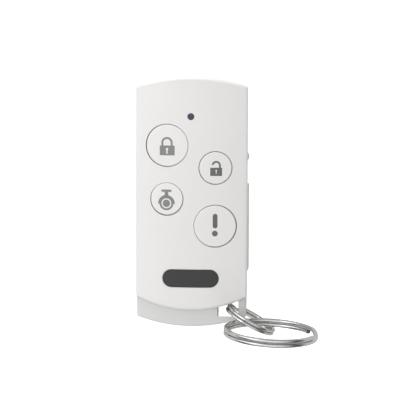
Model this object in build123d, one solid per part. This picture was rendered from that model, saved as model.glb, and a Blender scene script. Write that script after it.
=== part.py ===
from build123d import *
import math
import os

# Alarm key fob: a flat hand-held remote with four push buttons, a coin cell
# drawer in its right side, and two split rings threaded through its corner slot.
# It lies on its back: the origin is the centre of the flat back, +Z is out of the
# button face, +Y towards the lamp end, +X towards the drawer. Millimetres, degrees.

# Housing
body_length = 80.4
body_width = 36.0
body_height = 13.0
crown_rise = 2.5
end_radius = 57.0
corner_radius = 1.3
rim_radius = 0.8
edge_match = 0.01
parting_height = 7.0
seam_gap = 0.1

# Front cover
cover_end_gap = 5.5
cover_edge_radius = 43.0
cover_wall = 1.5
cover_overhang = 0.3

# Rear shell
floor_thickness = 1.4
shell_wall = 1.7
back_round = 1.6
lip_height = 1.6
lip_root = 0.4
lip_thickness = 0.9
end_drop = 0.7
end_rise = 1.8
end_round = 0.7
shell_corner = 0.8
tail_length = 12.8
tail_ramp = 8.0
tail_rise = 4.8
slot_width = 6.75
slot_length = 4.8
slot_post = 2.3
slot_bar = 3.7
slot_round = 0.6
slot_draft_angle = 10.0
ridge_length = 3.8
ridge_height = 3.4
ridge_above_drawer = 8.8

# Buttons, as seen from the front
large_button = 13.4
small_button = 10.35
left_column_share = 0.4267
right_column_share = 0.4389
lock_up_share = 0.4585
unlock_up_share = 0.2814
camera_up_share = 0.0287
panic_up_share = -0.1843
cap_shift = 0.12
button_gap = 0.22
button_wall = 1.2
button_top = 1.5
button_round = 0.3
button_travel = 0.5
flange_width = 0.6
flange_thickness = 0.8
flange_clearance = 0.15
flange_side_gap = 0.1
stem_diameter = 3.0

# Circuit board and what stands on it
board_height = 6.4
board_thickness = 1.0
board_foot_edge = 2.4
board_play = 0.3
board_post = 3.2
board_pin = 1.5
board_pin_play = 0.1
board_pin_proud = 0.4
board_post_inset = 2.9
board_post_low = 0.7
board_post_high = 14.0
switch_size = 4.8
switch_height = 1.8
switch_lead = 0.6
switch_lead_height = 0.3
plunger_diameter = 2.4
plunger_fit = 0.05
plunger_depth = 0.6
plunger_proud = 0.7
plunger_room = 0.1
chip_size = 5.0
chip_height = 0.9
chip_from_side = 9.5
chip_below_camera = 12.85
crystal_length = 3.2
crystal_width = 2.5
crystal_height = 0.8
crystal_offset = 6.5
small_chip_length = 1.6
small_chip_width = 0.8
small_chip_height = 0.6
small_chip_pitch = 1.9
small_chip_count = 5
package_bevel_share = 0.12
antenna_wire = 0.8
antenna_inset = 3.2
antenna_reach = 4.2
antenna_lift = 0.6
antenna_bend = 0.8
antenna_from_end = 8.6

# Status lamp
lamp_from_end = 12.5
lamp_diameter = 2.15
lamp_fit = 0.05
lamp_flange = 3.4
lamp_flange_thickness = 0.6
lamp_gap = 0.35
led_length = 1.6
led_width = 0.9
led_height = 0.7

# Badge plate
badge_length = 18.1
badge_width = 5.75
badge_from_foot = 15.8
badge_thickness = 0.6
badge_proud = 0.05
badge_fit = 0.08
badge_seat = 0.02

# Coin cell and its drawer
cell_diameter = 20.0
cell_height = 3.2
cell_cap_inset = 1.4
cell_cap_height = 0.5
cell_round = 0.2
cell_fit = 0.2
cell_from_side = 15.0
drawer_from_foot = 31.7
drawer_floor = 0.7
drawer_wall = 1.6
drawer_back_wall = 1.2
drawer_gap = 0.15
drawer_face_length = 28.0
drawer_face_height = 4.4
drawer_face_thickness = 2.0
drawer_face_gap = 0.12
drawer_face_round = 0.25
drawer_proud = 0.3
push_hole = 8.0
nail_groove_length = 10.0
nail_groove_height = 1.2
nail_groove_depth = 0.5
guide_thickness = 1.0
guide_height = 2.6

# Cell contacts
contact_strip = 0.25
contact_width = 3.0
contact_gap = 0.1
contact_foot = 2.6
contact_arm = 7.0
contact_curl = 1.4
contact_curl_rise = 0.35
contact_play = 0.5

# Housing screws
screw_shank = 1.8
screw_head = 3.4
screw_head_height = 1.2
screw_sink = 0.3
screw_length = 8.2
screw_fit = 0.05
screw_play = 0.2
screw_pilot_room = 0.5
screw_cross_width = 0.55
screw_cross_share = 0.66
screw_cross_depth = 0.6
boss_wall = 1.4
upper_screw_from_end = 5.3
lower_screw_from_side = 5.6
boss_room = 0.45
block_room = 0.7
boss_board_room = 0.9

# Split rings
link_diameter = 17.5
link_radial = 1.4
link_axial = 0.8
key_diameter = 30.0
key_radial = 1.5
key_axial = 1.1
turn_gap = 0.42
wire_round_share = 0.42
jog_angle = 48.0
jog_steps = 8
end_gap_angle = 4.0
link_side = 3.88
link_beyond = 1.56
link_lift = 0.2
link_turn_angle = -28.6
link_lean_angle = 0.9
link_jog_place_angle = 215.0
key_side = 7.04
key_beyond = 1.82
key_above = 13.93
key_turn_angle = -3.2
key_lean_angle = 3.2
key_jog_place_angle = -6.0

# Places that follow from the sizes
half_width = body_width / 2
half_length = body_length / 2
shell_width = body_width - 2 * cover_overhang
shell_top = half_length - cover_overhang
cover_foot = cover_end_gap - half_length
board_top = board_height + board_thickness
board_width = body_width - 2 * (cover_wall + seam_gap + lip_thickness + board_play)
board_end = half_length - cover_wall - seam_gap - lip_thickness - board_play
switch_top = board_top + switch_height
plunger_top = switch_top + plunger_proud
flange_top = cover_wall + flange_clearance
flange_foot = flange_top + flange_thickness
cell_x = half_width - cell_from_side
drawer_y = drawer_from_foot - half_length
drawer_low = floor_thickness + drawer_gap
drawer_high = drawer_low + drawer_face_height
drawer_front = half_width + drawer_proud
face_room = shell_width / 2 - shell_wall - drawer_face_thickness
drawer_back = cell_x - cell_diameter / 2 - cell_fit - drawer_back_wall
tray_width = cell_diameter + 2 * cell_fit + 2 * drawer_wall
cell_low = drawer_low + drawer_floor
cell_high = cell_low + cell_height
slot_right = shell_width / 2 - slot_post
slot_low = slot_bar - half_length
ridge_y = drawer_y + drawer_face_length / 2 + ridge_above_drawer
boss_radius = screw_shank / 2 + screw_play + boss_wall
guides_low = drawer_y - tray_width / 2 - drawer_gap - guide_thickness
upper_screw_y = half_length - upper_screw_from_end
lower_screw_x = half_width - lower_screw_from_side
lower_screw_y = guides_low - boss_room - boss_radius
end_block_top = lower_screw_y - boss_radius - block_room
post_x = board_width / 2 - board_post_inset
post_low_y = guides_low - board_post_low - board_post / 2
post_high_y = half_length - board_post_high
left_column = -left_column_share * half_width
right_column = right_column_share * half_width
camera_y = camera_up_share * half_length
chip_x = chip_from_side - half_width
chip_y = camera_y - chip_below_camera
lamp_y = half_length - lamp_from_end
badge_y = badge_from_foot - half_length
link_x = slot_right + link_side
link_y = slot_low - link_beyond
link_z = link_diameter / 2 + link_lift
key_x = link_x + key_side
key_y = link_y - key_beyond
key_z = link_z + key_above
beyond = body_length
screws = [
    (0, upper_screw_y),
    (-lower_screw_x, lower_screw_y),
    (lower_screw_x, lower_screw_y),
]
board_posts = [(0, post_low_y), (-post_x, post_high_y), (post_x, post_high_y)]
buttons = {
    "lock": (left_column, lock_up_share * half_length, large_button, cap_shift, 0),
    "unlock": (right_column, unlock_up_share * half_length, small_button, 0, 0),
    "camera": (left_column, camera_y, small_button, 0, cap_shift),
    "panic": (right_column, panic_up_share * half_length, large_button, -cap_shift, 0),
}


def arc_radius(chord, rise):
    """Radius of an arc that rises this far over a chord."""
    return ((chord / 2) ** 2 + rise ** 2) / (2 * rise)


def sag(radius, half_chord):
    """How far an arc rises over half its chord."""
    return radius - math.sqrt(radius ** 2 - half_chord ** 2)


def under_arch(width, rise, top):
    """All that lies under an arch whose crest runs along Y at this height."""
    radius = arc_radius(width, rise)
    return Pos(0, 0, top - radius) * Rot(90, 0, 0) * Cylinder(radius, 2 * body_length)


def under_crown(depth):
    """All that lies at least this deep under the crowned face."""
    radius = arc_radius(body_width, crown_rise)
    cylinder = Cylinder(radius - depth, 2 * body_length)
    return Pos(0, 0, body_height - radius) * Rot(90, 0, 0) * cylinder


def plan(width, top, foot, foot_radius, round_radius):
    """A plan outline with straight sides and a bowed edge at each end."""
    half = width / 2
    top_side = top - sag(end_radius, half)
    foot_side = foot + sag(foot_radius, half)
    edges = [
        ThreePointArc((-half, top_side), (0, top), (half, top_side)),
        Line((half, top_side), (half, foot_side)),
        ThreePointArc((half, foot_side), (0, foot), (-half, foot_side)),
        Line((-half, foot_side), (-half, top_side)),
    ]
    face = make_face(edges)
    if round_radius > 0:
        face = fillet(face.vertices(), round_radius)
    return face


def prism(face, low, high):
    """A plan outline pulled up from one height to another."""
    return Pos(0, 0, low) * extrude(face, high - low)


def block(x_low, x_high, y_low, y_high, z_low, z_high):
    """A box between two corners."""
    box = Box(x_high - x_low, y_high - y_low, z_high - z_low, align=(Align.MIN,) * 3)
    return Pos(x_low, y_low, z_low) * box


def rod(diameter, x, y, low, high):
    """An upright cylinder."""
    align = (Align.CENTER, Align.CENTER, Align.MIN)
    return Pos(x, y, low) * Cylinder(diameter / 2, high - low, align=align)


def arch_edges(solid, width, rise, top):
    """The edges that bound an arched face."""
    radius = arc_radius(width, rise)
    found = []
    for edge in solid.edges():
        points = [edge @ 0, edge @ 0.5, edge @ 1]
        heights = [math.hypot(point.X, point.Z - top + radius) for point in points]
        if max(abs(height - radius) for height in heights) < edge_match:
            found.append(edge)
    return found


def cover_plan(grow):
    """Outline of the front cover, grown by a gap all round."""
    return plan(
        body_width + 2 * grow,
        half_length + grow,
        cover_foot - grow,
        cover_edge_radius + grow,
        corner_radius + grow,
    )


def inside_plan(inset):
    """Outline of the space inside the cover's walls, open at its lower edge."""
    return plan(body_width - 2 * inset, half_length - inset, -beyond, end_radius, 0)


def shell_plan(inset):
    """Outline of the rear shell, inset by a wall."""
    return plan(
        shell_width - 2 * inset,
        shell_top - inset,
        inset - half_length,
        end_radius,
        0 if inset else shell_corner,
    )


def badge_outline(grow):
    """The oblong of the badge plate."""
    return Pos(0, badge_y) * SlotOverall(badge_length + 2 * grow, badge_width + 2 * grow)


def front_cover():
    """Crowned cover with its button holes, lamp hole, badge recess and screw bosses."""
    cover = prism(cover_plan(0), parting_height, body_height + beyond) & under_crown(0)
    cover = fillet(arch_edges(cover, body_width, crown_rise, body_height), rim_radius)
    cover -= prism(inside_plan(cover_wall), 0, beyond) & under_crown(cover_wall)
    boss_space = prism(inside_plan(cover_wall), board_height + seam_gap, beyond)
    boss_space = boss_space & under_crown(cover_wall / 2)
    for x, y in screws:
        cover += rod(screw_shank + 2 * boss_wall, x, y, 0, beyond) & boss_space
    for x, y in screws:
        tip = screw_sink + screw_head_height + screw_length
        cover -= rod(screw_shank + 2 * screw_fit, x, y, 0, tip + screw_pilot_room)
    for x, y, diameter, aside, up in buttons.values():
        cover -= rod(diameter + 2 * button_gap, x, y, parting_height, beyond)
    cover -= rod(lamp_diameter + 2 * lamp_fit, 0, lamp_y, parting_height, beyond)
    recess = prism(badge_outline(badge_fit), parting_height, beyond)
    cover -= recess - under_crown(badge_thickness - badge_proud)
    return cover


def tail_wedge():
    """The space that the sloping tail leaves under the ring slot."""
    start = tail_length - half_length
    points = [
        (start, 0),
        (start - tail_ramp, tail_rise),
        (-beyond, tail_rise),
        (-beyond, -beyond),
        (start, -beyond),
    ]
    profile = make_face(Plane.YZ * Polyline(*points, close=True))
    return extrude(profile, beyond, both=True)


def ring_slot():
    """The window that the link ring is threaded through, its lower wall sloping outwards."""
    centre_x = slot_right - slot_width / 2
    centre_y = slot_low + slot_length / 2
    window = RectangleRounded(slot_width, slot_length, slot_round)
    slope = beyond * math.tan(math.radians(slot_draft_angle))
    top = body_height
    points = [(slot_low + slot_round, top), (slot_low, top), (slot_low - slope, top - beyond)]
    wedge = make_face(Plane.YZ * Polyline(*points, (slot_low + slot_round, top - beyond), close=True))
    wedge = Pos(centre_x, 0, 0) * extrude(wedge, slot_width / 2, both=True)
    return prism(Pos(centre_x, centre_y) * window, -beyond, beyond) + wedge


def side_ridge():
    """The small ridge above the drawer that a fingertip finds."""
    foot = shell_width / 2 - shell_wall / 2
    low = ridge_y - ridge_length / 2
    high = ridge_y + ridge_length / 2
    bulge = ThreePointArc((foot, low), (drawer_front, ridge_y), (foot, high))
    face = make_face([bulge, Line((foot, high), (foot, low))])
    start = (parting_height - ridge_height) / 2
    return prism(face, start, start + ridge_height)


def drawer_opening():
    """The mouth in the right wall that the drawer's face fills."""
    half = drawer_face_length / 2 + drawer_face_gap
    return block(
        face_room,
        beyond,
        drawer_y - half,
        drawer_y + half,
        drawer_low - drawer_face_gap,
        drawer_high + drawer_face_gap,
    )


def drawer_guides():
    """The two ribs that the drawer slides between, and the rib it stops on."""
    side = tray_width / 2 + drawer_gap
    stop = drawer_back - drawer_gap
    low = drawer_y - side - guide_thickness
    high = drawer_y + side + guide_thickness
    top = floor_thickness + guide_height
    root = floor_thickness / 2
    frame = block(stop - guide_thickness, face_room, low, high, root, top)
    opening = block(stop, beyond, drawer_y - side, drawer_y + side, 0, beyond)
    return frame - opening


def rear_shell():
    """Back half of the housing, with its tail, ring slot, posts and drawer guides."""
    shell = prism(shell_plan(0), 0, parting_height)
    back = shell.edges().filter_by_position(Axis.Z, 0, 0)
    shell = fillet(back, back_round)
    end_top = body_height - crown_rise - end_drop + end_rise
    arch = under_arch(shell_width, end_rise, end_top)
    tail = prism(shell_plan(0), parting_height - lip_root, beyond) & arch
    tail = fillet(arch_edges(tail, shell_width, end_rise, end_top), end_round)
    tail -= prism(cover_plan(seam_gap), 0, beyond)
    under_cover = prism(inside_plan(cover_wall + seam_gap), parting_height - lip_root, beyond)
    under_cover = under_cover & prism(shell_plan(0), 0, beyond)
    under_cover = under_cover & under_crown(cover_wall + seam_gap) & arch
    under_cover -= block(-beyond, beyond, end_block_top, beyond, -beyond, beyond)
    shell += tail
    shell += under_cover
    lip_low = parting_height - lip_root
    lip_high = parting_height + lip_height
    lip = prism(inside_plan(cover_wall + seam_gap), lip_low, lip_high)
    lip -= prism(inside_plan(cover_wall + seam_gap + lip_thickness), 0, beyond)
    lip -= block(-beyond, beyond, -beyond, end_block_top, -beyond, beyond)
    cavity = prism(shell_plan(shell_wall), floor_thickness, parting_height)
    cavity -= block(-beyond, beyond, -beyond, end_block_top, -beyond, beyond)
    shell -= cavity
    shell += lip
    shell -= tail_wedge()
    shell -= ring_slot()
    shell += side_ridge()
    shell += drawer_guides()
    shell -= drawer_opening()
    root = floor_thickness / 2
    for x, y in board_posts:
        shell += rod(board_post, x, y, root, board_height)
        shell += rod(board_pin, x, y, root, board_top + board_pin_proud)
    for x, y in screws:
        shell += rod(2 * boss_radius, x, y, root, board_height)
    for x, y in screws:
        shell -= rod(screw_shank + 2 * screw_play, x, y, -beyond, beyond)
        seat = screw_sink + screw_head_height
        shell -= rod(screw_head + 2 * screw_play, x, y, -beyond, seat)
    return shell


def button(x, y, diameter, aside, up):
    """A push button: a cap that rests a little off the middle of its hole, a flange and a stem."""
    stem = rod(stem_diameter, x, y, plunger_top, beyond) & under_crown(button_top / 2)
    x += aside
    y += up
    cap = rod(diameter, x, y, 0, beyond) & under_crown(0)
    top = cap.faces().sort_by(Axis.Z)[-1]
    cap = fillet(top.edges(), button_round)
    cap -= under_crown(flange_foot)
    inner = diameter - 2 * button_wall
    cap -= rod(inner, x, y, 0, beyond) & under_crown(button_top)
    flange = rod(diameter + 2 * flange_width, x, y, 0, beyond) - rod(inner, x, y, 0, beyond)
    flange = (flange & under_crown(flange_top)) - under_crown(flange_foot)
    lip_inside = cover_wall + seam_gap + lip_thickness
    cap += flange & prism(inside_plan(lip_inside + flange_side_gap), 0, beyond)
    return cap + stem


def switch_body(x, y):
    """A tact switch soldered to the board, with the bore that its plunger moves in."""
    half = switch_size / 2
    body = block(x - half, x + half, y - half, y + half, board_top, switch_top)
    body = chamfer(body.edges().filter_by(Axis.Z), switch_lead)
    reach = half + switch_lead
    for side in (-1, 1):
        centre = y + side * half / 2
        low = centre - switch_lead / 2
        lead_top = board_top + switch_lead_height
        body += block(x - reach, x + reach, low, low + switch_lead, board_top, lead_top)
    floor = switch_top - plunger_depth - button_travel - plunger_room
    return body - rod(plunger_diameter + 2 * plunger_fit, x, y, floor, beyond)


def plunger(x, y):
    """The round plunger that the button's stem pushes into its switch."""
    pin = rod(plunger_diameter, x, y, switch_top - plunger_depth, plunger_top)
    return chamfer(pin.faces().sort_by(Axis.Z)[0].edges(), plunger_room)


def circuit_board():
    """Board between the cell and the buttons, located on three pins."""
    outline = plan(board_width, board_end, -beyond, end_radius, 0)
    board = prism(outline, board_height, board_top)
    foot = post_low_y - board_foot_edge
    board -= block(-beyond, beyond, -beyond, foot, 0, beyond)
    corner_x = lower_screw_x - boss_radius - boss_board_room
    corner_y = lower_screw_y + boss_radius + boss_board_room
    board -= block(-beyond, -corner_x, -beyond, corner_y, 0, beyond)
    board -= block(corner_x, beyond, -beyond, corner_y, 0, beyond)
    for x, y in board_posts:
        board -= rod(board_pin + 2 * board_pin_play, x, y, 0, beyond)
    notch = screw_shank + 2 * boss_wall + 2 * board_play
    board -= rod(notch, 0, upper_screw_y, 0, beyond)
    board -= block(-notch / 2, notch / 2, upper_screw_y, beyond, 0, beyond)
    return board


def standing_box(x, y, length, width, height):
    """A small package soldered to the top of the board."""
    body = block(
        x - length / 2, x + length / 2, y - width / 2, y + width / 2, board_top, board_top + height
    )
    return chamfer(body.edges().group_by(Axis.Z)[-1], package_bevel_share * height)


def chip_components():
    """A row of small passive chips beside the radio chip."""
    row = []
    x = chip_x + chip_size
    for place in range(small_chip_count):
        y = chip_y + (place - (small_chip_count - 1) / 2) * small_chip_pitch
        row.append(standing_box(x, y, small_chip_length, small_chip_width, small_chip_height))
    return Compound(row)


def antenna():
    """A bent wire antenna that stands on the board behind the lamp end."""
    foot = board_top
    crest = board_top + antenna_lift + antenna_wire / 2
    half = board_width / 2 - antenna_inset
    antenna_y = half_length - antenna_from_end
    near = antenna_y - antenna_reach
    points = [
        (-half, near, foot),
        (-half, near, crest),
        (-half, antenna_y, crest),
        (half, antenna_y, crest),
        (half, near, crest),
        (half, near, foot),
    ]
    path = FilletPolyline(*points, radius=antenna_bend)
    start = Plane(origin=path @ 0, z_dir=path % 0)
    return sweep(start * Circle(antenna_wire / 2), path=path)


def lamp_lens():
    """The light pipe that carries the lamp's light to the face."""
    low = board_top + led_height + lamp_gap
    pipe = rod(lamp_diameter, 0, lamp_y, low, beyond) & under_crown(0)
    collar = rod(lamp_flange, 0, lamp_y, low, beyond) & under_crown(flange_top)
    collar -= under_crown(flange_top + lamp_flange_thickness)
    return pipe + collar


def badge_plate():
    """Bare oblong plate, let into the cover and bowed like it."""
    plate = prism(badge_outline(0), parting_height, beyond) & under_crown(-badge_proud)
    return plate - under_crown(badge_thickness - badge_proud - badge_seat)


def battery_drawer():
    """Tray that carries the coin cell out of the right side."""
    tray_top = cell_high - contact_gap
    half = tray_width / 2
    face_back = drawer_front - drawer_face_thickness
    tray = block(drawer_back, face_back, drawer_y - half, drawer_y + half, drawer_low, tray_top)
    half = drawer_face_length / 2
    face = block(face_back, drawer_front, drawer_y - half, drawer_y + half, drawer_low, drawer_high)
    face = fillet(face.faces().sort_by(Axis.X)[-1].edges(), drawer_face_round)
    groove_low = (drawer_low + drawer_high - nail_groove_height) / 2
    face -= block(
        drawer_front - nail_groove_depth,
        beyond,
        drawer_y - nail_groove_length / 2,
        drawer_y + nail_groove_length / 2,
        groove_low,
        groove_low + nail_groove_height,
    )
    drawer = tray + face
    drawer -= rod(cell_diameter + 2 * cell_fit, cell_x, drawer_y, cell_low, beyond)
    drawer -= rod(push_hole, cell_x, drawer_y, -beyond, beyond)
    notch = contact_width / 2 + contact_play
    drawer -= block(-beyond, cell_x, drawer_y - notch, drawer_y + notch, cell_low, beyond)
    return drawer


def coin_cell():
    """Lithium coin cell, its smaller negative cap towards the board."""
    can = rod(cell_diameter, cell_x, drawer_y, cell_low, cell_high - cell_cap_height)
    rims = can.edges().filter_by(GeomType.CIRCLE)
    can = fillet(rims, cell_round)
    cap = rod(cell_diameter - 2 * cell_cap_inset, cell_x, drawer_y, cell_low, cell_high)
    cap = fillet(cap.edges().filter_by(GeomType.CIRCLE).group_by(Axis.Z)[-1], cell_round)
    return can + cap


def strip(points):
    """A bent contact strip, drawn from the side and as wide as a contact."""
    profile = make_face(Plane.XZ * Polyline(*points, close=True))
    return Pos(0, drawer_y, 0) * extrude(profile, contact_width / 2, both=True)


def negative_contact():
    """Spring strip under the board that rests on the middle of the cell."""
    start = cell_x - contact_arm
    knee = start + contact_foot
    low = cell_high + contact_gap
    under = board_height - contact_strip
    tip = cell_x + contact_curl
    points = [
        (start, board_height),
        (knee, board_height),
        (cell_x, low + contact_strip),
        (tip, low + contact_strip + contact_curl_rise),
        (tip, low + contact_curl_rise),
        (cell_x, low),
        (knee, under),
        (start, under),
    ]
    return strip(points)


def positive_contact():
    """Strip under the board whose leg reaches down beside the cell's can."""
    leg = cell_x - cell_diameter / 2 - contact_gap
    start = leg - contact_foot
    low = cell_low + contact_gap + contact_strip
    under = board_height - contact_strip
    points = [
        (start, board_height),
        (leg, board_height),
        (leg, low),
        (leg - contact_strip, low),
        (leg - contact_strip, under),
        (start, under),
    ]
    return strip(points)


def housing_screws():
    """The three cross-head screws that hold the two shells together."""
    made = []
    seat = screw_sink + screw_head_height
    for x, y in screws:
        screw = rod(screw_head, x, y, screw_sink, seat)
        screw += rod(screw_shank, x, y, seat - screw_fit, seat + screw_length)
        arm = screw_cross_share * screw_head / 2
        half = screw_cross_width / 2
        deep = screw_sink + screw_cross_depth
        screw -= block(x - arm, x + arm, y - half, y + half, -beyond, deep)
        screw -= block(x - half, x + half, y - arm, y + arm, -beyond, deep)
        made.append(screw)
    return Compound(made)


def wire_section(mean, radial, axial, angle, height):
    """The rounded section of a ring's wire at one angle round the ring."""
    turn = math.radians(angle)
    outward = (math.cos(turn), math.sin(turn), 0)
    along = (-math.sin(turn), math.cos(turn), 0)
    centre = (mean * outward[0], mean * outward[1], height)
    rounding = wire_round_share * axial
    place = Plane(origin=centre, x_dir=outward, z_dir=along)
    return place * RectangleRounded(radial, axial, rounding)


def wire_height(climb, jog_at, angle):
    """Height of the wire's centre, with the angle counted on through both turns."""
    share = (angle - jog_at - 360 + jog_angle / 2) / jog_angle
    share = min(max(share, 0), 1)
    return climb * (share - math.sin(2 * math.pi * share) / (2 * math.pi) - 0.5)


def least_turn_gap(mean, radial, axial, jog_at):
    """Least distance between points on the two turns of the wire."""
    climb = axial + turn_gap
    start = jog_at + jog_angle / 2 + end_gap_angle
    stations = range(int(720 - 2 * end_gap_angle - jog_angle) + 1)
    rows = []
    for station in stations:
        turn = math.radians(start + station)
        height = wire_height(climb, jog_at, start + station)
        row = []
        for out in (-1, 0, 1):
            reach = mean + out * radial / 2
            for up in (-1, 1):
                place = (reach * math.cos(turn), reach * math.sin(turn), height + up * axial / 2)
                row.append(place)
        rows.append(row)
    least = math.inf
    for station in stations:
        for other in range(station + 350, min(station + 371, len(rows))):
            gaps = [math.dist(a, b) for a in rows[station] for b in rows[other]]
            least = min(least, min(gaps))
    return least


def split_ring(diameter, radial, axial, jog_at):
    """A split ring: two flat turns of one wire, joined by a climbing jog."""
    mean = (diameter - radial) / 2
    climb = axial + turn_gap
    rise_start = jog_at - jog_angle / 2
    rise_end = jog_at + jog_angle / 2
    sweep_angle = 360 - jog_angle - end_gap_angle
    first = wire_section(mean, radial, axial, rise_end + end_gap_angle, -climb / 2)
    second = wire_section(mean, radial, axial, rise_end, climb / 2)
    sections = []
    for step in range(jog_steps + 1):
        angle = rise_start + jog_angle * step / jog_steps
        height = wire_height(climb, jog_at, angle + 360)
        sections.append(wire_section(mean, radial, axial, angle, height))
    ring = loft(sections, ruled=True)
    ring += revolve(first, Axis.Z, sweep_angle)
    ring += revolve(second, Axis.Z, sweep_angle)
    least = least_turn_gap(mean, radial, axial, jog_at)
    print("least gap between the turns of the", diameter, "mm ring:", round(least, 3))
    return ring


def stand(ring, x, y, z, turned, lean):
    """Stand a ring on edge, turned about Z and leaning away from the fob."""
    turn = math.radians(turned)
    tilt = math.radians(lean)
    along = (math.cos(turn), math.sin(turn), 0)
    flat = math.cos(tilt)
    across = (flat * math.sin(turn), -flat * math.cos(turn), -math.sin(tilt))
    return Plane(origin=(x, y, z), x_dir=along, z_dir=across).location * ring


def link_ring():
    """Small split ring threaded through the slot of the rear shell."""
    ring = split_ring(link_diameter, link_radial, link_axial, link_jog_place_angle)
    return stand(ring, link_x, link_y, link_z, link_turn_angle, link_lean_angle)


def key_ring():
    """Large split ring for the keys, threaded through the link ring."""
    ring = split_ring(key_diameter, key_radial, key_axial, key_jog_place_angle)
    return stand(ring, key_x, key_y, key_z, key_turn_angle, key_lean_angle)


def write(node, shape):
    """Write one sub-part to its own file."""
    export_step(shape, os.path.join("parts", node + ".step"))


os.makedirs("parts", exist_ok=True)
write("front_cover", front_cover())
write("rear_shell", rear_shell())
for name, (x, y, diameter, aside, up) in buttons.items():
    write(name + "_button", button(x, y, diameter, aside, up))
    write(name + "_switch", switch_body(x, y))
    write(name + "_plunger", plunger(x, y))
write("circuit_board", circuit_board())
write("radio_chip", standing_box(chip_x, chip_y, chip_size, chip_size, chip_height))
write(
    "crystal",
    standing_box(chip_x, chip_y + crystal_offset, crystal_length, crystal_width, crystal_height),
)
write("chip_components", chip_components())
write("antenna_wire", antenna())
write("status_led", standing_box(0, lamp_y, led_length, led_width, led_height))
write("led_lens", lamp_lens())
write("badge_plate", badge_plate())
write("battery_drawer", battery_drawer())
write("coin_cell", coin_cell())
write("negative_contact", negative_contact())
write("positive_contact", positive_contact())
write("housing_screws", housing_screws())
write("link_ring", link_ring())
write("key_ring", key_ring())
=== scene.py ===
import bpy
import math
import mathutils
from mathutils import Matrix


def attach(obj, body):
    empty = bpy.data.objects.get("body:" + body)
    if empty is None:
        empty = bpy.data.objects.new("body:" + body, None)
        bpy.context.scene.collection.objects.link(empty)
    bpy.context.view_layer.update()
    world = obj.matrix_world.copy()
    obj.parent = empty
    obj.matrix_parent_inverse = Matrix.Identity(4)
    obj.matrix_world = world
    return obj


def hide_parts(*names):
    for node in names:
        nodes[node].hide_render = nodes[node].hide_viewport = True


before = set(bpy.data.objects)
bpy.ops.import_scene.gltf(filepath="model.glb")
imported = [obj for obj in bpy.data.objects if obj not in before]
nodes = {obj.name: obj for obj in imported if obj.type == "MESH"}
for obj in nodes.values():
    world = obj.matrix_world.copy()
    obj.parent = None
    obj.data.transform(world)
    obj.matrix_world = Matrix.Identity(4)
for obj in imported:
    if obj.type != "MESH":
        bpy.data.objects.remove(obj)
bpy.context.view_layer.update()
scene = bpy.context.scene


# The rear shell is the lower half of the housing, moulded in light grey ABS with a fine
# spark-eroded texture. Its tail slopes up at the back, and the ring slot goes through it.
def surface(name):
    """A new material, its node tree, its shader and the place of a point on the piece."""
    material = bpy.data.materials.new(name)
    material.use_nodes = True
    tree = material.node_tree
    place = tree.nodes.new("ShaderNodeTexCoord").outputs["Object"]
    return material, tree, tree.nodes["Principled BSDF"], place


def specks(tree, place, scale, detail, roughness=0.5):
    """A soft random pattern, with about this many specks to a metre."""
    noise = tree.nodes.new("ShaderNodeTexNoise")
    noise.inputs["Scale"].default_value = scale
    noise.inputs["Detail"].default_value = detail
    noise.inputs["Roughness"].default_value = roughness
    tree.links.new(place, noise.inputs["Vector"])
    return noise.outputs["Fac"]


def tint(tree, shader, pattern, low, high, dark, light):
    """The colour goes from dark to light as the pattern rises from low to high."""
    ramp = tree.nodes.new("ShaderNodeValToRGB")
    for end, position, colour in zip(ramp.color_ramp.elements, (low, high), (dark, light)):
        end.position = position
        end.color = [*colour, 1]
    tree.links.new(pattern, ramp.inputs["Fac"])
    tree.links.new(ramp.outputs["Color"], shader.inputs["Base Color"])


def polish(tree, shader, pattern, smoothest, roughest):
    """The roughness follows the pattern between these two."""
    gloss = tree.nodes.new("ShaderNodeMapRange")
    gloss.inputs["To Min"].default_value = smoothest
    gloss.inputs["To Max"].default_value = roughest
    tree.links.new(pattern, gloss.inputs["Value"])
    tree.links.new(gloss.outputs["Result"], shader.inputs["Roughness"])


def relief(tree, shader, pattern, strength, depth):
    """Bumps of this depth, in metres, that follow the pattern."""
    bump = tree.nodes.new("ShaderNodeBump")
    bump.inputs["Strength"].default_value = strength
    bump.inputs["Distance"].default_value = depth
    tree.links.new(pattern, bump.inputs["Height"])
    tree.links.new(bump.outputs["Normal"], shader.inputs["Normal"])


def moulded(name, colour, roughness, grain, mottle):
    """Moulded plastic: faint flow marks in the colour and a fine texture in the surface."""
    gloss_spread = 0.06
    material, tree, shader, place = surface(name)
    flow = specks(tree, place, scale=55, detail=3)
    dark = [c * (1 - mottle) for c in colour]
    light = [min(1, c * (1 + mottle)) for c in colour]
    tint(tree, shader, flow, low=0.3, high=0.7, dark=dark, light=light)
    texture = specks(tree, place, scale=5200, detail=4, roughness=0.6)
    polish(tree, shader, texture, roughness - gloss_spread, roughness + gloss_spread)
    relief(tree, shader, texture, grain, depth=0.00003)
    return material


def finish_node(name, material):
    """A CAD node keeps its shape and takes this finish."""
    mesh = nodes[name].data
    mesh.materials.clear()
    mesh.materials.append(material)


shell_grey = moulded("shell_grey", (0.72, 0.72, 0.71), roughness=0.5, grain=0.35, mottle=0.012)
finish_node("rear_shell", shell_grey)


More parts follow.
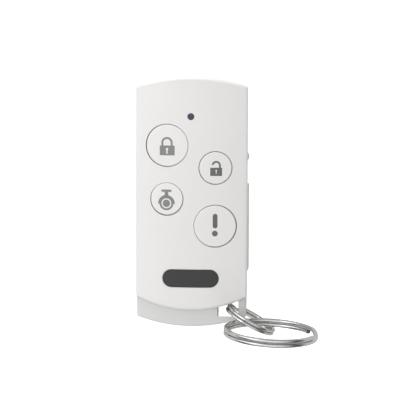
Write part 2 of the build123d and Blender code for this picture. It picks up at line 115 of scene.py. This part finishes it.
# The coin cell drawer is a tray of the same grey plastic that pulls out of the right side.
# It carries the lithium cell, a nickel-plated steel can with its smaller cap upwards.
def plated(name, colour, roughness, scratch, scale):
    """Bright metal with an uneven polish and fine scratches, so many to a metre each way."""
    worn_share, gloss_spread = 0.94, 0.3
    material, tree, shader, place = surface(name)
    shader.inputs["Metallic"].default_value = 1
    stretch = tree.nodes.new("ShaderNodeMapping")
    stretch.inputs["Scale"].default_value = scale
    tree.links.new(place, stretch.inputs["Vector"])
    scratches = specks(tree, stretch.outputs["Vector"], scale=1, detail=5)
    worn = [c * worn_share for c in colour]
    tint(tree, shader, scratches, low=0.35, high=0.65, dark=worn, light=colour)
    polish(tree, shader, scratches, roughness * (1 - gloss_spread), roughness * (1 + gloss_spread))
    relief(tree, shader, scratches, scratch, depth=0.00001)
    return material


drawer_grey = moulded("drawer_grey", (0.74, 0.74, 0.73), roughness=0.5, grain=0.3, mottle=0.012)
finish_node("battery_drawer", drawer_grey)
cell_nickel = plated("cell_nickel", (0.72, 0.72, 0.73), roughness=0.3, scratch=0.3, scale=(900, 9000, 900))
finish_node("coin_cell", cell_nickel)


# Two strips of rolled bronze under the board touch the cell's cap and its can. They are
# stamped flat, bent, and soldered to the board by their feet.
bronze = plated("contact_bronze", (0.7, 0.56, 0.3), roughness=0.35, scratch=0.4, scale=(9000, 700, 700))
finish_node("negative_contact", bronze)
finish_node("positive_contact", bronze)


# The circuit board is glass fibre with green solder mask over copper tracks. The radio chip,
# crystal, small parts, lamp and wire antenna are soldered to its upper side.
def solder_mask():
    """Green solder mask, lighter where a track runs under it."""
    material, tree, shader, place = surface("solder_mask")
    shader.inputs["Roughness"].default_value = 0.3
    tracks = tree.nodes.new("ShaderNodeTexBrick")
    tracks.inputs["Scale"].default_value = 420
    tracks.inputs["Mortar Size"].default_value = 0.12
    tracks.inputs["Color1"].default_value = (0.015, 0.13, 0.05, 1)
    tracks.inputs["Color2"].default_value = (0.02, 0.16, 0.06, 1)
    tracks.inputs["Mortar"].default_value = (0.05, 0.26, 0.1, 1)
    tree.links.new(place, tracks.inputs["Vector"])
    tree.links.new(tracks.outputs["Color"], shader.inputs["Base Color"])
    relief(tree, shader, tracks.outputs["Fac"], strength=0.3, depth=0.00003)
    return material


chip_epoxy = moulded("chip_epoxy", (0.02, 0.02, 0.022), roughness=0.45, grain=0.5, mottle=0.15)
chip_ceramic = moulded("chip_ceramic", (0.2, 0.13, 0.08), roughness=0.4, grain=0.4, mottle=0.15)
led_resin = moulded("led_resin", (0.75, 0.7, 0.45), roughness=0.25, grain=0.1, mottle=0.05)
crystal_can = plated("crystal_can", (0.66, 0.66, 0.67), roughness=0.28, scratch=0.3, scale=(900, 6000, 900))
tinned_wire = plated("tinned_wire", (0.72, 0.6, 0.5), roughness=0.3, scratch=0.3, scale=(700, 5000, 5000))
finish_node("circuit_board", solder_mask())
finish_node("radio_chip", chip_epoxy)
finish_node("chip_components", chip_ceramic)
finish_node("status_led", led_resin)
finish_node("crystal", crystal_can)
finish_node("antenna_wire", tinned_wire)


# Four tact switches stand on the board, one under each button: a black moulded body with a
# red-brown plunger on the spring dome inside it.
switch_black = moulded("switch_black", (0.03, 0.03, 0.032), roughness=0.4, grain=0.4, mottle=0.15)
plunger_red = moulded("plunger_red", (0.32, 0.05, 0.04), roughness=0.4, grain=0.3, mottle=0.08)
for name in ("lock", "unlock", "camera", "panic"):
    finish_node(name + "_switch", switch_black)
    finish_node(name + "_plunger", plunger_red)


# The front cover is the white crowned half of the housing, moulded in one with its screw
# bosses. Three small cross-head screws from the back hold it to the rear shell.
cover_white = moulded("cover_white", (0.83, 0.82, 0.805), roughness=0.42, grain=0.3, mottle=0.01)
screw_zinc = plated("screw_zinc", (0.55, 0.55, 0.56), roughness=0.32, scratch=0.5, scale=(3000, 3000, 3000))
finish_node("front_cover", cover_white)
finish_node("housing_screws", screw_zinc)


# The lamp lens is a light pipe of clear dark blue polycarbonate that ends flush with the
# crown. Unlit, it looks nearly black.
def lamp_blue():
    """Dark blue clear plastic with a polished end."""
    material, tree, shader, place = surface("lamp_blue")
    shader.inputs["Roughness"].default_value = 0.12
    shader.inputs["Coat Weight"].default_value = 0.4
    depths = specks(tree, place, scale=900, detail=2)
    tint(tree, shader, depths, low=0, high=1, dark=(0.016, 0.02, 0.04), light=(0.036, 0.045, 0.08))
    return material


finish_node("led_lens", lamp_blue())


# The badge plate is a bare oblong of dark grey plastic with a satin face, glued into a
# shallow recess of the cover.
badge_grey = moulded("badge_grey", (0.026, 0.0255, 0.025), roughness=0.4, grain=0.25, mottle=0.06)
finish_node("badge_plate", badge_grey)


# The lock button is the large cap at the left of the top row. Its closed padlock is
# pad-printed in mid grey ink, a thin film on the crowned plastic.
button_white = moulded("button_white", (0.84, 0.83, 0.815), roughness=0.4, grain=0.25, mottle=0.01)
ink_grey = moulded("ink_grey", (0.25, 0.248, 0.243), roughness=0.55, grain=0.3, mottle=0.05)
ink_dark = moulded("ink_dark", (0.14, 0.139, 0.136), roughness=0.55, grain=0.3, mottle=0.05)
millimetre = 0.001
above_crown = 16 * millimetre
ink_thickness = 0.06 * millimetre


def clear_selection():
    """Nothing is selected, so that the next operator acts on its own piece only."""
    bpy.ops.object.select_all(action="DESELECT")


def take(pieces):
    """These pieces alone are selected, and the first of them is the active one."""
    clear_selection()
    for piece in pieces:
        piece.select_set(True)
    bpy.context.view_layer.objects.active = pieces[0]


def active():
    return bpy.context.view_layer.objects.active


def settle():
    """The active piece's place, turn and scale go into its mesh."""
    bpy.ops.object.transform_apply(location=True, rotation=True, scale=True)


def choose(piece, wanted):
    """Edit mode, with those vertices selected whose place is wanted."""
    bpy.ops.object.mode_set(mode="EDIT")
    bpy.ops.mesh.select_mode(type="VERT")
    bpy.ops.mesh.select_all(action="DESELECT")
    bpy.ops.object.mode_set(mode="OBJECT")
    for vertex in piece.data.vertices:
        vertex.select = wanted(vertex.co)
    bpy.ops.object.mode_set(mode="EDIT")


def choose_all(kind):
    """Edit mode, with everything selected."""
    bpy.ops.object.mode_set(mode="EDIT")
    bpy.ops.mesh.select_mode(type=kind)
    bpy.ops.mesh.select_all(action="SELECT")


def leave_edit():
    bpy.ops.object.mode_set(mode="OBJECT")


def cap_middle(button):
    """The middle of a button over the face, in millimetres. Its print is placed from there."""
    middle = []
    for axis in (0, 1):
        along = [vertex.co[axis] for vertex in nodes[button].data.vertices]
        middle.append((min(along) + max(along)) / 2 / millimetre)
    return middle


def bar(x, y, width, length, corner):
    """A flat bar of ink centred on x, y, with its corners rounded. All in millimetres. It has
    cells each way, so that it can follow the crown."""
    cells = 8
    clear_selection()
    bpy.ops.mesh.primitive_grid_add(
        x_subdivisions=cells,
        y_subdivisions=cells,
        size=millimetre,
        location=(x * millimetre, y * millimetre, above_crown),
    )
    piece = active()
    piece.scale = (width, length, 1)
    settle()
    if corner:
        round_corners(piece, x, y, width, length, corner)
    return piece


def round_corners(piece, x, y, width, length, corner):
    """Rounds the four corners of a bar."""
    near = 0.001

    def at_corner(place):
        far_x = abs(place.x / millimetre - x) > width / 2 - near
        far_y = abs(place.y / millimetre - y) > length / 2 - near
        return far_x and far_y

    choose(piece, at_corner)
    bpy.ops.mesh.bevel(offset=corner * millimetre, segments=4, affect="VERTICES")
    leave_edit()


def arc_band(x, y, inner, outer, first, last, steps):
    """A flat arc of ink from one angle to another, in degrees from +X towards +Y. One edge
    as long as the band is wide is spun round the middle."""
    clear_selection()
    start = (inner + outer) / 2 * millimetre
    bpy.ops.mesh.primitive_plane_add(size=millimetre, location=(start, 0, above_crown))
    piece = active()
    piece.scale = (outer - inner, 1, 1)
    settle()
    choose_all("EDGE")
    bpy.ops.mesh.delete(type="ONLY_FACE")
    choose(piece, lambda place: place.y > 0)
    bpy.ops.mesh.delete(type="VERT")
    choose_all("VERT")
    bpy.ops.mesh.subdivide(number_cuts=2)
    leave_edit()
    for vertex in piece.data.vertices:
        vertex.co.y = 0
    piece.rotation_euler = (0, 0, math.radians(first))
    settle()
    choose_all("VERT")
    sweep = math.radians(last - first)
    bpy.ops.mesh.spin(steps=steps, angle=-sweep, center=(0, 0, above_crown), axis=(0, 0, 1))
    choose_all("VERT")
    bpy.ops.mesh.remove_doubles(threshold=0.001 * millimetre)
    leave_edit()
    piece.location = (x * millimetre, y * millimetre, 0)
    settle()
    return piece


def disc(x, y, radius):
    """A flat disc of ink."""
    clear_selection()
    bpy.ops.mesh.primitive_circle_add(
        vertices=40,
        radius=radius * millimetre,
        fill_type="TRIFAN",
        location=(x * millimetre, y * millimetre, above_crown),
    )
    settle()
    return active()


def shackle(x, y, inner, outer, last, steps, sides, leg_length):
    """A padlock's shackle: an arc of ink round x, y, and a straight leg on each of these sides."""
    overlap = 0.01
    shapes = [arc_band(x, y, inner, outer, first=0, last=last, steps=steps)]
    for side in sides:
        leg_x = x + side * (inner + outer) / 2
        leg_y = y - leg_length / 2 + overlap
        shapes.append(bar(leg_x, leg_y, width=outer - inner, length=leg_length, corner=0))
    return shapes


def cut_out(piece, cutters):
    """Leaves the plastic bare where a cutter stands through the ink."""
    for cutter in cutters:
        take([cutter])
        thick = cutter.modifiers.new("thick", "SOLIDIFY")
        thick.thickness = millimetre
        thick.offset = 0
        bpy.ops.object.modifier_apply(modifier="thick")
        take([piece])
        hole = piece.modifiers.new("hole", "BOOLEAN")
        hole.operation = "DIFFERENCE"
        hole.solver = "EXACT"
        hole.object = cutter
        bpy.ops.object.modifier_apply(modifier="hole")
        bpy.data.objects.remove(cutter)


def lay_ink(shapes, name, button, body, material):
    """Joins the shapes, lays them on the button's crown and gives the film its thickness."""
    take(shapes)
    bpy.ops.object.join()
    piece = active()
    piece.name = name
    piece.data.name = name
    wrap = piece.modifiers.new("wrap", "SHRINKWRAP")
    wrap.target = nodes[button]
    wrap.wrap_method = "PROJECT"
    wrap.use_project_z = True
    wrap.use_negative_direction = True
    wrap.use_positive_direction = False
    bpy.ops.object.modifier_apply(modifier="wrap")
    thick = piece.modifiers.new("thick", "SOLIDIFY")
    thick.thickness = ink_thickness
    thick.offset = 0
    bpy.ops.object.modifier_apply(modifier="thick")
    piece.data.materials.clear()
    piece.data.materials.append(material)
    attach(piece, body)


finish_node("lock_button", button_white)
lock_x, lock_y = cap_middle("lock_button")
lock_body = bar(lock_x - 0.02, lock_y - 1.61, width=4.82, length=3.12, corner=0.12)
keyhole = disc(lock_x - 0.09, lock_y - 1.19, radius=0.42)
keyhole_slot = bar(lock_x - 0.09, lock_y - 2.04, width=0.46, length=1.3, corner=0)
cut_out(lock_body, [keyhole, keyhole_slot])
lock_shackle = shackle(
    lock_x - 0.09, lock_y + 0.85, inner=1.2, outer=1.83, last=180, steps=20, sides=(-1, 1), leg_length=0.9
)
lay_ink([lock_body, *lock_shackle], "lock_print", "lock_button", "lock_key", ink_grey)


# The unlock button is the small cap to its right. The padlock printed on it is open, its
# shackle swung clear on the left.
finish_node("unlock_button", button_white)
unlock_x, unlock_y = cap_middle("unlock_button")
open_body = bar(unlock_x + 0.23, unlock_y - 1.23, width=3.76, length=2.63, corner=0.1)
open_keyhole = disc(unlock_x + 0.25, unlock_y - 0.8, radius=0.26)
open_slot = bar(unlock_x + 0.25, unlock_y - 1.35, width=0.26, length=1.0, corner=0)
cut_out(open_body, [open_keyhole, open_slot])
open_shackle = shackle(
    unlock_x + 0.25, unlock_y + 0.82, inner=0.87, outer=1.45, last=172, steps=18, sides=(1,), leg_length=0.76
)
lay_ink([open_body, *open_shackle], "unlock_print", "unlock_button", "unlock_key", ink_dark)


# The camera button is the small cap on the left. Its print is a dome camera that hangs from
# a ceiling plate: plate, neck, round housing, shade and lens.
finish_node("camera_button", button_white)
cap_x, cap_y = cap_middle("camera_button")
dome_x, dome_y = cap_x - 0.12, cap_y - 1.46
camera_shapes = [
    bar(dome_x, dome_y + 4.05, width=3.2, length=0.72, corner=0.05),
    bar(dome_x, dome_y + 3.05, width=1.2, length=1.5, corner=0),
    arc_band(dome_x, dome_y, inner=1.62, outer=2.25, first=0, last=360, steps=44),
    arc_band(dome_x, dome_y, inner=2.2, outer=2.68, first=-4, last=184, steps=28),
    disc(dome_x, dome_y, radius=1.2),
]
lay_ink(camera_shapes, "camera_print", "camera_button", "camera_key", ink_grey)


# The panic button is the large cap at the lower right, with an exclamation mark: a bar with
# round ends over a round dot.
finish_node("panic_button", button_white)
panic_x, panic_y = cap_middle("panic_button")
stroke_x, stroke_y = panic_x + 0.08, panic_y + 1.64
stroke_width, stroke_length = 1.5, 3.2
alarm_shapes = [bar(stroke_x, stroke_y, width=stroke_width, length=stroke_length, corner=0)]
for end_y in (stroke_y + stroke_length / 2, stroke_y - stroke_length / 2):
    alarm_shapes.append(disc(stroke_x, end_y, radius=stroke_width / 2))
alarm_shapes.append(disc(panic_x + 0.01, panic_y - 2.37, radius=0.92))
lay_ink(alarm_shapes, "panic_print", "panic_button", "panic_key", ink_dark)


# The link ring is a small split ring of nickel-plated spring steel: two flat turns of one
# rounded wire, wound up through the slot, with a short climb from one turn to the next.
ring_scratches = (2600, 2600, 2600)
ring_nickel = plated("ring_nickel", (0.66, 0.655, 0.65), roughness=0.17, scratch=0.02, scale=ring_scratches)
climb_sweep = 48
open_sweep = 4
turn_gap = 0.14


def split_ring(name, diameter, radial, axial, climb_at, middle, turned, lean):
    """One wire, spun round a turn, climbed to the next level and spun round again. Its
    diameter and its wire's two widths are in millimetres, its angles in degrees."""
    turn_steps, climb_steps = 110, 16
    wire_round = 0.42 * axial * millimetre
    mean_radius = (diameter - radial) / 2 * millimetre
    climb = (axial + turn_gap) * millimetre
    turn = math.radians(360 - climb_sweep - open_sweep)
    climb_turn = math.radians(climb_sweep) / climb_steps
    upright = {"center": (0, 0, 0), "axis": (0, 0, 1)}
    clear_selection()
    bpy.ops.mesh.primitive_plane_add(size=millimetre)
    piece = active()
    piece.name = name
    piece.data.name = name
    piece.scale = (radial, axial, 1)
    settle()
    choose_all("VERT")
    bpy.ops.mesh.bevel(offset=wire_round, segments=6, affect="VERTICES")
    choose_all("FACE")
    bpy.ops.mesh.delete(type="ONLY_FACE")
    leave_edit()
    piece.rotation_euler = (math.pi / 2, 0, 0)
    piece.location = (mean_radius, 0, -climb / 2)
    settle()
    piece.rotation_euler = (0, 0, math.radians(climb_at + climb_sweep / 2 + open_sweep))
    settle()
    choose_all("EDGE")
    bpy.ops.mesh.spin(steps=turn_steps, angle=-turn, **upright)
    risen = 0
    for step in range(1, climb_steps + 1):
        share = step / climb_steps
        height = climb * (share - math.sin(2 * math.pi * share) / (2 * math.pi))
        bpy.ops.mesh.spin(steps=1, angle=-climb_turn, **upright)
        bpy.ops.transform.translate(value=(0, 0, height - risen))
        risen = height
    bpy.ops.mesh.spin(steps=turn_steps, angle=-turn, **upright)
    bpy.ops.mesh.select_all(action="SELECT")
    bpy.ops.mesh.remove_doubles(threshold=0.0005 * millimetre)
    bpy.ops.mesh.select_all(action="SELECT")
    bpy.ops.mesh.fill_holes(sides=0)
    bpy.ops.mesh.select_all(action="SELECT")
    bpy.ops.mesh.normals_make_consistent(inside=False)
    leave_edit()
    bpy.ops.object.shade_smooth_by_angle(angle=math.radians(35))
    piece.rotation_euler = (math.radians(90 + lean), 0, math.radians(turned))
    piece.location = [c * millimetre for c in middle]
    settle()
    piece.data.materials.append(ring_nickel)
    return piece


link = split_ring(
    "link_ring_wire",
    diameter=17.5,
    radial=1.4,
    axial=0.94,
    climb_at=215,
    middle=(19.28, -38.06, 8.95),
    turned=-28.6,
    lean=0.9,
)
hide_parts("link_ring")
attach(link, "link")


# The key ring is the same kind of ring, 30 mm across, threaded through the link ring. Keys
# are wound on between its two turns.
key = split_ring(
    "key_ring_wire",
    diameter=30.0,
    radial=1.5,
    axial=1.24,
    climb_at=-6,
    middle=(26.32, -39.88, 22.88),
    turned=-3.2,
    lean=3.2,
)
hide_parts("key_ring")
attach(key, "keyring")


# The fob lies on a sheet of pale paper that the camera sees as plain white.
# The sheet is 0.1 mm under the fob's back, so that the two faces don't coincide.
paper_tone = 0.8
paper_glow = 0.85
floor_width = 4
below_back = 0.1 * millimetre


def ray(tree, kinds):
    """One where the light path is of any of these kinds."""
    path = tree.nodes.new("ShaderNodeLightPath")
    found = path.outputs[kinds[0]]
    for kind in kinds[1:]:
        either = tree.nodes.new("ShaderNodeMath")
        either.operation = "MAXIMUM"
        tree.links.new(found, either.inputs[0])
        tree.links.new(path.outputs[kind], either.inputs[1])
        found = either.outputs[0]
    return found


def seen(tree):
    """One where the camera looks, also through something clear."""
    return ray(tree, ["Is Camera Ray", "Is Transmission Ray"])


def paper_white():
    """Pale matt paper, with a glow that only the camera sees."""
    material = bpy.data.materials.new("paper_white")
    material.use_nodes = True
    tree = material.node_tree
    shader = tree.nodes["Principled BSDF"]
    shader.inputs["Base Color"].default_value = (paper_tone, paper_tone, paper_tone, 1)
    shader.inputs["Roughness"].default_value = 0.9
    shader.inputs["Specular IOR Level"].default_value = 0
    glow = tree.nodes.new("ShaderNodeMath")
    glow.operation = "MULTIPLY"
    glow.inputs[1].default_value = paper_glow
    tree.links.new(seen(tree), glow.inputs[0])
    tree.links.new(glow.outputs[0], shader.inputs["Emission Strength"])
    shader.inputs["Emission Color"].default_value = (1, 1, 1, 1)
    return material


clear_selection()
bpy.ops.mesh.primitive_plane_add(size=floor_width, location=(0, 0, -below_back))
floor = active()
floor.name = "floor"
floor.data.materials.append(paper_white())


# The studio is white to the camera and lights the fob evenly from all sides. Polished metal
# mirrors walls that are dark above the horizon and a ceiling that is white overhead.
even_light = 0.62
mirror_light = 1.1
ground_level = (0.0, 0.4)
wall_levels = ((0.14, 0.12), (0.42, 0.08), (0.6, 0.45), (0.78, 0.8))
ceiling_level = (0.9, 1.0)

world = bpy.data.worlds.new("studio")
scene.world = world
world.use_nodes = True
studio = world.node_tree
sky = studio.nodes["Background"]
sky.inputs["Color"].default_value = (1, 1, 1, 1)
seen_sky = studio.nodes.new("ShaderNodeMapRange")
seen_sky.inputs["To Min"].default_value = even_light
seen_sky.inputs["To Max"].default_value = 1.0
studio.links.new(seen(studio), seen_sky.inputs["Value"])
studio.links.new(seen_sky.outputs["Result"], sky.inputs["Strength"])
direction = studio.nodes.new("ShaderNodeTexCoord")
height = studio.nodes.new("ShaderNodeSeparateXYZ")
studio.links.new(direction.outputs["Generated"], height.inputs["Vector"])
panels = studio.nodes.new("ShaderNodeValToRGB")
stops = panels.color_ramp.elements
for stop, (place, level) in zip(stops, (ground_level, ceiling_level)):
    stop.position = place
    stop.color = (level, level, level, 1)
for place, level in wall_levels:
    stops.new(place).color = (level, level, level, 1)
studio.links.new(height.outputs["Z"], panels.inputs["Fac"])
room = studio.nodes.new("ShaderNodeBackground")
room.inputs["Strength"].default_value = mirror_light
studio.links.new(panels.outputs["Color"], room.inputs["Color"])
mirrored = studio.nodes.new("ShaderNodeMixShader")
studio.links.new(ray(studio, ["Is Glossy Ray"]), mirrored.inputs["Fac"])
studio.links.new(sky.outputs[0], mirrored.inputs[1])
studio.links.new(room.outputs[0], mirrored.inputs[2])
studio.links.new(mirrored.outputs[0], studio.nodes["World Output"].inputs["Surface"])


# Plain studio light: one broad soft lamp from the left, which makes the crown fade gently
# from left to right, and two low ones that whiten the walls at the lamp end and at the right
# of the tail. The low ones don't show in the metal.
def soft_lamp(name, size, power, place, aim):
    """A square lamp that faces a point, in metres and watts."""
    lamp = bpy.data.lights.new(name, "AREA")
    lamp.size = size
    lamp.energy = power
    holder = bpy.data.objects.new(name, lamp)
    scene.collection.objects.link(holder)
    holder.location = place
    line = [a - b for a, b in zip(aim, place)]
    level = math.hypot(line[0], line[1])
    tilt = math.atan2(level, -line[2])
    bearing = math.atan2(line[1], line[0]) - math.pi / 2
    holder.rotation_euler = (tilt, 0, bearing)
    return holder


soft_lamp("key_lamp", size=0.9, power=3.6, place=(-0.6, 0.3, 0.5), aim=(0, 0, 0))
end_lamp = soft_lamp("end_lamp", size=0.35, power=2.7, place=(-0.1, 0.75, 0.12), aim=(0, 0.04, 0.006))
side_lamp = soft_lamp("side_lamp", size=0.35, power=1.4, place=(0.4, -0.68, 0.1), aim=(0.018, -0.03, 0.006))
for low_lamp in (end_lamp, side_lamp):
    low_lamp.visible_glossy = False


# The camera looks almost straight down, a little from the lamp end and from the right, from
# 0.6 m. Its picture takes in 128.6 mm across the fob.
view_side, view_up, view_roll = math.radians(4.0), math.radians(6.0), math.radians(-0.2)
distance = 0.6
half_picture = 0.0643
picture_pixels = 400
pixel = 2 * half_picture / picture_pixels
aim_right, aim_up, aim_height = 8.85 * pixel, 2.3 * pixel, 0.0105

away = (
    math.sin(view_side) * math.cos(view_up),
    math.sin(view_up),
    math.cos(view_side) * math.cos(view_up),
)
back = mathutils.Vector(away).normalized()
right = mathutils.Vector((0, 1, 0)).cross(back).normalized()
up = back.cross(right).normalized()
turned_right = right * math.cos(view_roll) - up * math.sin(view_roll)
turned_up = right * math.sin(view_roll) + up * math.cos(view_roll)
aim = mathutils.Vector((0, 0, aim_height)) + turned_right * aim_right + turned_up * aim_up
camera = bpy.data.cameras.new("camera")
camera.sensor_width = 36
camera.lens = camera.sensor_width / 2 * distance / half_picture
camera.clip_start = 0.01
camera.clip_end = 20
eye = bpy.data.objects.new("camera", camera)
scene.collection.objects.link(eye)
facing = mathutils.Matrix((turned_right, turned_up, back)).transposed().to_4x4()
eye.matrix_world = mathutils.Matrix.Translation(aim + back * distance) @ facing
scene.camera = eye
scene.view_settings.view_transform = "Standard"
